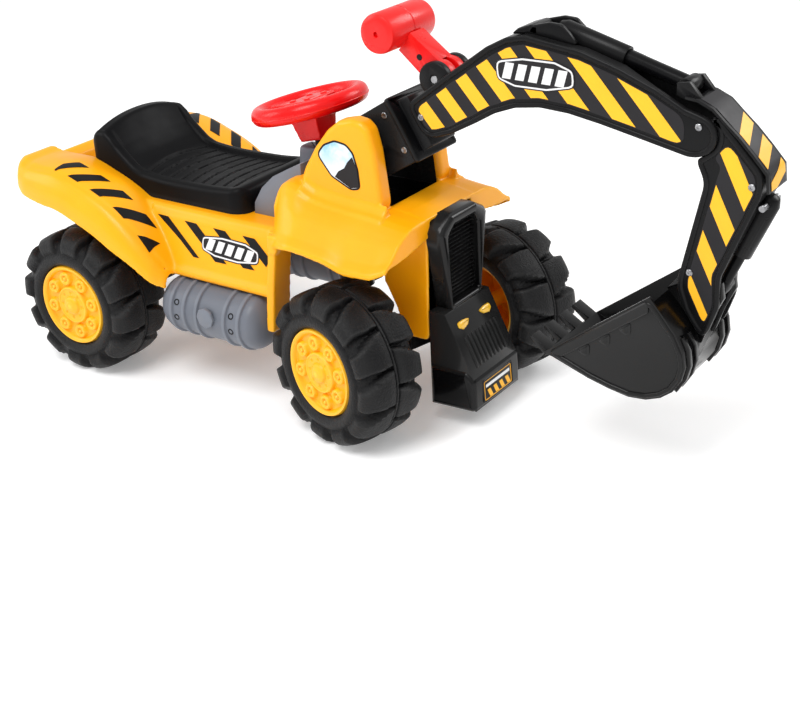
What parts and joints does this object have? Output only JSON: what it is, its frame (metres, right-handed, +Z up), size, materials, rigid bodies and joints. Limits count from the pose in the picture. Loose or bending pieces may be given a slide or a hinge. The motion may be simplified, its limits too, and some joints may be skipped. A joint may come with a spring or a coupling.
{
  "type": "ride-on toy digger",
  "caption": "Foot-to-floor ride-on toy digger with a steered front axle, a lever-worked articulated arm and a scoop bucket.",
  "frame": {"origin": "on the ground, on the centre line, midway between the two axles", "axes": "+X forward towards the bucket, +Y to the rider's left, +Z up"},
  "size_m": [1.047, 0.3944, 0.518],
  "materials": {
    "yellow": "satin moulded polypropylene",
    "hub_yellow": "satin moulded polypropylene",
    "tyre": "grained blow-moulded plastic",
    "seat_black": "satin with a grained pad",
    "black_gloss": "gloss",
    "black_satin": "satin",
    "grey": "satin",
    "red": "gloss",
    "lamp_yellow": "gloss",
    "label": "printed film",
    "steel": "zinc plated"
  },
  "bodies": {
    "chassis": {"body_shell": "yellow", "seat": "seat_black", "front_cowl": "yellow", "steering_bearing": "black_satin", "cavity_liner": "black_satin", "dash_panel": "grey", "column_shroud": "grey", "grille_frame": "black_gloss", "grille_slats": "black_gloss", "bumper": "black_gloss", "bumper_plate": "label", "headlights": "lamp_yellow", "side_tank_left": "grey", "side_tank_right": "grey", "tank_badge_left": "grey", "tank_badge_right": "grey", "rear_axle_block": "black_satin", "rear_axle": "steel", "rear_axle_caps": "hub_yellow", "arm_pin": "steel"},
    "rear_left_wheel": {"tyre_rear_left": "tyre", "hub_rear_left": "hub_yellow"},
    "rear_right_wheel": {"tyre_rear_right": "tyre", "hub_rear_right": "hub_yellow"},
    "front_axle": {"axle_bracket": "black_satin", "front_axle": "steel", "front_axle_caps": "hub_yellow"},
    "front_left_wheel": {"tyre_front_left": "tyre", "hub_front_left": "hub_yellow"},
    "front_right_wheel": {"tyre_front_right": "tyre", "hub_front_right": "hub_yellow"},
    "drag_link": {"drag_link": "black_satin"},
    "steering": {"steering_column": "black_satin", "steering_wheel": "red"},
    "horn": {"horn_button": "red"},
    "boom": {"arm_block": "black_satin", "block_screws": "steel", "arm_flange": "black_satin", "boom_left": "black_satin", "boom_right": "black_satin", "lever_discs": "black_satin", "boom_pins": "steel", "cylinder_mount": "black_satin", "boom_screws": "steel"},
    "lever": {"lever_arm": "red", "lever_grip": "red"},
    "pull_rod": {"pull_rod": "steel"},
    "stick": {"stick_left": "black_satin", "stick_right": "black_satin", "stick_guard": "black_satin", "stick_pins": "steel", "stick_screws": "steel"},
    "top_sleeve": {"top_sleeve": "black_satin"},
    "top_rod": {"top_rod": "black_satin"},
    "low_sleeve": {"low_sleeve": "black_satin"},
    "low_rod": {"low_rod": "black_satin"},
    "bucket": {"bucket": "black_gloss"}
  },
  "joints": [
    {"name": "rear_left_spin", "type": "hinge", "parent": "chassis", "child": "rear_left_wheel", "pos_m": [-0.234, 0, 0.1], "axis": [0, 1, 0], "continuous": true},
    {"name": "rear_right_spin", "type": "hinge", "parent": "chassis", "child": "rear_right_wheel", "pos_m": [-0.234, 0, 0.1], "axis": [0, 1, 0], "continuous": true},
    {"name": "steer", "type": "hinge", "parent": "chassis", "child": "front_axle", "pos_m": [0.234, 0, 0.1], "axis": [0, 0, 1], "range_deg": [-1, 29]},
    {"name": "front_left_spin", "type": "hinge", "parent": "front_axle", "child": "front_left_wheel", "pos_m": [0.234, 0, 0.1], "axis": [0.2419, 0.9703, 0], "continuous": true},
    {"name": "front_right_spin", "type": "hinge", "parent": "front_axle", "child": "front_right_wheel", "pos_m": [0.234, 0, 0.1], "axis": [0.2419, 0.9703, 0], "continuous": true},
    {"name": "link_swing", "type": "hinge", "parent": "front_axle", "child": "drag_link", "pos_m": [0.24222, 0.03299, 0.15], "axis": [0, 0, 1], "range_deg": [-29, 1]},
    {"name": "wheel_turn", "type": "hinge", "parent": "chassis", "child": "steering", "pos_m": [0.066, 0, 0.377], "axis": [-0.2419, 0, 0.9703], "range_deg": [-1, 29]},
    {"name": "horn_press", "type": "slide", "parent": "steering", "child": "horn", "axis": [0.2419, 0, -0.9703], "range_m": [0, 0.002], "stiffness_N_per_m": 400, "springref_m": -0.0008},
    {"name": "boom_lift", "type": "hinge", "parent": "chassis", "child": "boom", "pos_m": [0.2, 0, 0.35], "axis": [0, -1, 0], "range_deg": [-12, 22]},
    {"name": "stick_swing", "type": "hinge", "parent": "boom", "child": "stick", "pos_m": [0.607, 0, 0.419], "axis": [0, -1, 0], "range_deg": [-15, 15]},
    {"name": "lever_swing", "type": "hinge", "parent": "boom", "child": "lever", "pos_m": [0.275, 0, 0.438], "axis": [0, -1, 0], "range_deg": [-15, 15]},
    {"name": "rod_swing", "type": "hinge", "parent": "lever", "child": "pull_rod", "pos_m": [0.281, 0, 0.418], "axis": [0, -1, 0], "range_deg": [-15, 15]},
    {"name": "top_sleeve_tilt", "type": "hinge", "parent": "boom", "child": "top_sleeve", "pos_m": [0.436, 0, 0.507], "axis": [0, -1, 0], "range_deg": [-4, 4]},
    {"name": "top_rod_slide", "type": "slide", "parent": "top_sleeve", "child": "top_rod", "axis": [0.9608, 0, -0.2773], "range_m": [-0.011, 0.011]},
    {"name": "bucket_curl", "type": "hinge", "parent": "stick", "child": "bucket", "pos_m": [0.602, 0, 0.242], "axis": [0, 1, 0], "range_deg": [0, 40]},
    {"name": "low_sleeve_tilt", "type": "hinge", "parent": "stick", "child": "low_sleeve", "pos_m": [0.68, 0, 0.348], "axis": [0, -1, 0], "range_deg": [-1, 2]},
    {"name": "low_rod_slide", "type": "slide", "parent": "low_sleeve", "child": "low_rod", "axis": [-0.4086, 0, -0.9127], "range_m": [-0.001, 0.022]}
  ],
  "couplings": [
    {"joint": "wheel_turn", "follows": "steer", "ratio": 1},
    {"joint": "link_swing", "follows": "steer", "ratio": -1},
    {"joint": "lever_swing", "follows": "stick_swing", "ratio": 1},
    {"joint": "rod_swing", "follows": "stick_swing", "ratio": -1},
    {"joint": "top_sleeve_tilt", "follows": "stick_swing", "ratio": -0.21},
    {"joint": "top_rod_slide", "follows": "stick_swing", "m_per_rad": -0.0362},
    {"joint": "low_sleeve_tilt", "follows": "bucket_curl", "ratio": 0.02},
    {"joint": "low_rod_slide", "follows": "bucket_curl", "m_per_rad": 0.0298}
  ]
}
